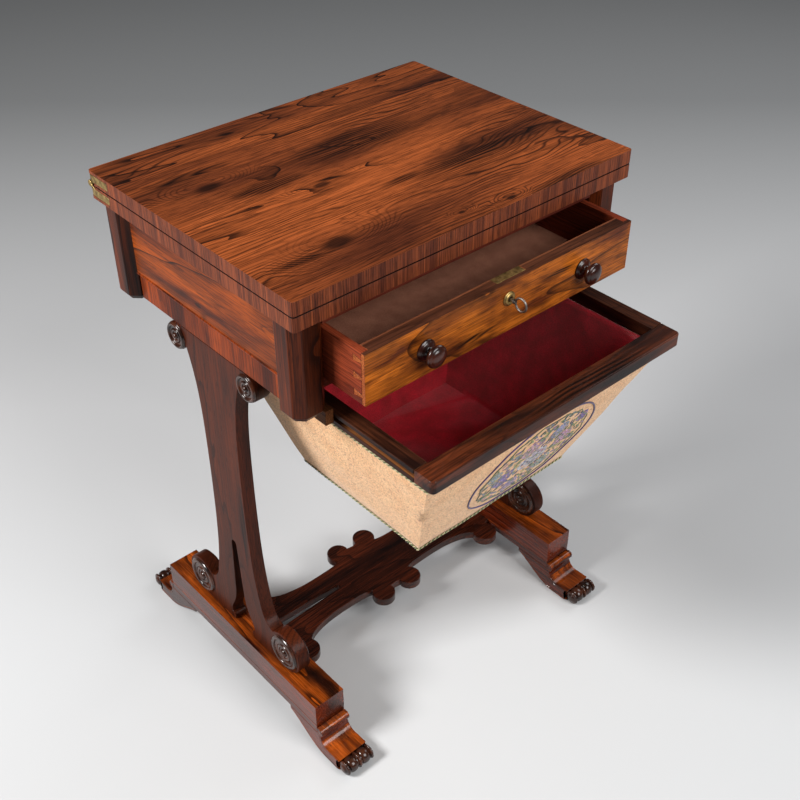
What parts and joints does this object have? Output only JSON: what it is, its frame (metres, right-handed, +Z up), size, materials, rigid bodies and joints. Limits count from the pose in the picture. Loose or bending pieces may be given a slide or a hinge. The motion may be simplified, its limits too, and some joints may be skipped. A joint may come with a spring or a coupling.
{
  "type": "sewing table",
  "caption": "Small games and sewing table with a swivelling fold-over top, a lockable drawer and a sliding cloth work bag on end standards.",
  "frame": {"origin": "on the floor under the middle of the whole table as it stands with its drawer and bag slide drawn out", "axes": "+Z up; the drawer and the bag slide open towards -Y; +X is to the right of a person who faces the drawer front"},
  "size_m": [0.517, 0.582, 0.735],
  "materials": {
    "rosewood_top": "gloss",
    "rosewood_figured": "gloss",
    "rosewood": "gloss",
    "rosewood_turned": "gloss",
    "mahogany": "satin",
    "beech": "matte",
    "brass": "satin",
    "steel": "satin",
    "bag_cloth": "matte",
    "bag_lining": "satin",
    "gimp_braid": "matte",
    "needlework": "matte"
  },
  "bodies": {
    "root": {"corner_post_front_left": "rosewood", "corner_post_back_left": "rosewood", "corner_post_front_right": "rosewood", "corner_post_back_right": "rosewood", "end_panel_left": "rosewood_figured", "end_panel_right": "rosewood_figured", "end_rail_left": "rosewood", "end_rail_right": "rosewood", "back_panel": "rosewood", "top_rail": "mahogany", "drawer_blade": "mahogany", "pivot_rail": "mahogany", "drawer_runner_left": "mahogany", "drawer_runner_right": "mahogany", "bag_runner_left": "beech", "bag_runner_right": "beech", "standard_left": "rosewood", "standard_right": "rosewood", "foot_bar_left": "rosewood", "foot_bar_right": "rosewood", "volute_boss_front_left": "rosewood_turned", "volute_boss_back_left": "rosewood_turned", "volute_boss_front_right": "rosewood_turned", "volute_boss_back_right": "rosewood_turned", "scroll_boss_front_left": "rosewood_turned", "scroll_boss_back_left": "rosewood_turned", "scroll_boss_front_right": "rosewood_turned", "scroll_boss_back_right": "rosewood_turned", "scroll_foot_front_left": "rosewood", "scroll_foot_back_left": "rosewood", "scroll_foot_front_right": "rosewood", "scroll_foot_back_right": "rosewood", "toe_bobbin_front_left": "rosewood_turned", "toe_bobbin_back_left": "rosewood_turned", "toe_bobbin_front_right": "rosewood_turned", "toe_bobbin_back_right": "rosewood_turned", "stretcher": "rosewood"},
    "top": {"lower_leaf": "rosewood_top", "hinge_plate_lower_left": "brass", "hinge_plate_lower_right": "brass", "pivot_bolt": "brass"},
    "flap": {"upper_leaf": "rosewood_top", "hinge_plate_upper_left": "brass", "hinge_plate_upper_right": "brass"},
    "drawer": {"drawer_front": "rosewood_figured", "drawer_side_left": "mahogany", "drawer_side_right": "mahogany", "drawer_back": "mahogany", "drawer_bottom": "mahogany", "drawer_knob_left": "rosewood_turned", "drawer_knob_right": "rosewood_turned", "escutcheon": "brass", "lock_case": "brass"},
    "key": {"key": "steel"},
    "bolt": {"lock_bolt": "brass"},
    "bag_slide": {"bag_rail_front": "rosewood", "bag_rail_left": "rosewood", "bag_rail_right": "rosewood", "bag_rail_back": "rosewood", "work_bag": "bag_cloth"}
  },
  "joints": [
    {"name": "top_swivel", "type": "hinge", "parent": "root", "child": "top", "pos_m": [0.098, 0.147, 0.699], "axis": [0, 0, 1], "range_deg": [0, 90]},
    {"name": "leaf_fold", "type": "hinge", "parent": "top", "child": "flap", "pos_m": [0, 0.245, 0.717], "axis": [-1, 0, 0], "range_deg": [0, 180]},
    {"name": "drawer_slide", "type": "slide", "parent": "root", "child": "drawer", "axis": [0, -1, 0], "range_m": [-0.0595, 0.19]},
    {"name": "key_turn", "type": "hinge", "parent": "drawer", "child": "key", "pos_m": [0, -0.201, 0.654], "axis": [0, -1, 0], "range_deg": [0, 180]},
    {"name": "bolt_throw", "type": "slide", "parent": "drawer", "child": "bolt", "axis": [0, 0, 1], "range_m": [0, 0.007]},
    {"name": "bag_slide", "type": "slide", "parent": "root", "child": "bag_slide", "axis": [0, -1, 0], "range_m": [-0.153, 0.06]}
  ],
  "couplings": [
    {"joint": "bolt_throw", "follows": "key_turn", "m_per_rad": 0.002228}
  ]
}
